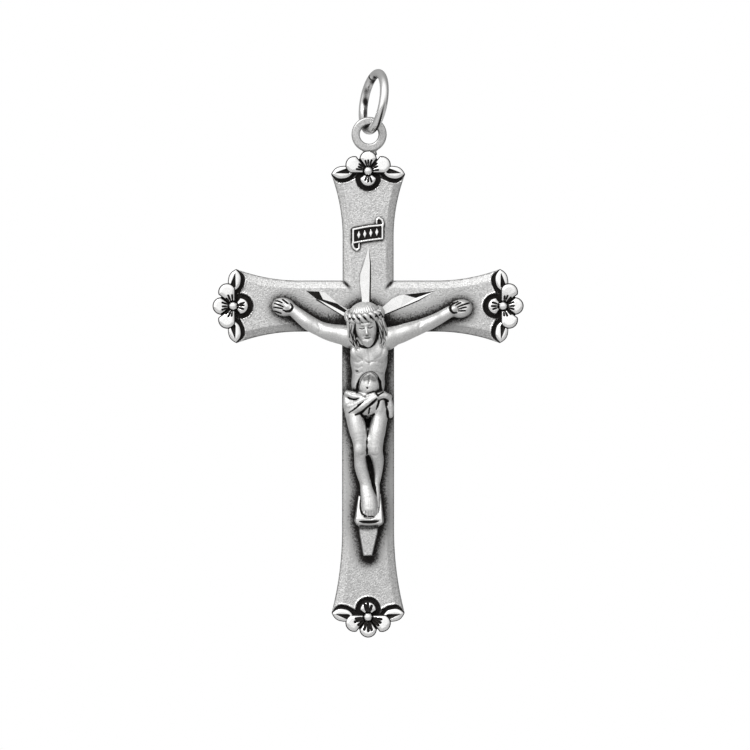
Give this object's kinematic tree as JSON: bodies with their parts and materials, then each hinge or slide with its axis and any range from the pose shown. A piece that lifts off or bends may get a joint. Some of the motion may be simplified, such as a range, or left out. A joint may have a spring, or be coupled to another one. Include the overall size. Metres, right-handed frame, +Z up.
{
  "type": "crucifix pendant",
  "caption": "Silver crucifix pendant: a flared, bevelled cross with blossom ends, a figure, a scroll and a foot rest, hung by a loop and a jump ring.",
  "frame": {"origin": "on the flat back of the cross plate, where the middle lines of the stem and of the cross arms meet", "axes": "+Z up the stem towards the hanging loop, +X to the right for someone who faces the figure, +Y out of the flat back, so the figure faces -Y"},
  "size_m": [0.0312, 0.0076, 0.057],
  "materials": {
    "satin_plate": "sterling silver, fine satin grain, darkened by oxidation round the figure and in the recesses",
    "figure_silver": "sterling silver, soft satin, darkened in the hollows",
    "bright_silver": "sterling silver, polished on the high parts and blackened in the grooves",
    "wire_silver": "sterling silver wire, drawn and tumbled bright"
  },
  "bodies": {
    "ring": {"jump_ring": "wire_silver"},
    "pendant": {"cross_plate": "satin_plate", "flower_top": "bright_silver", "bead_top": "bright_silver", "leaf_top_a": "bright_silver", "leaf_top_b": "bright_silver", "flower_right": "bright_silver", "bead_right": "bright_silver", "leaf_right_a": "bright_silver", "leaf_right_b": "bright_silver", "flower_left": "bright_silver", "bead_left": "bright_silver", "leaf_left_a": "bright_silver", "leaf_left_b": "bright_silver", "flower_bottom": "bright_silver", "bead_bottom": "bright_silver", "leaf_bottom_a": "bright_silver", "leaf_bottom_b": "bright_silver", "titulus_scroll": "bright_silver", "scroll_studs": "bright_silver", "suppedaneum": "figure_silver", "stem_post": "figure_silver", "corpus": "figure_silver", "hanging_loop": "wire_silver"}
  },
  "joints": [
    {"name": "pendant_swing", "type": "hinge", "parent": "ring", "child": "pendant", "pos_m": [0.0001, -0.00063, 0.01855], "axis": [1, 0, 0], "range_deg": [-50, 50]}
  ]
}
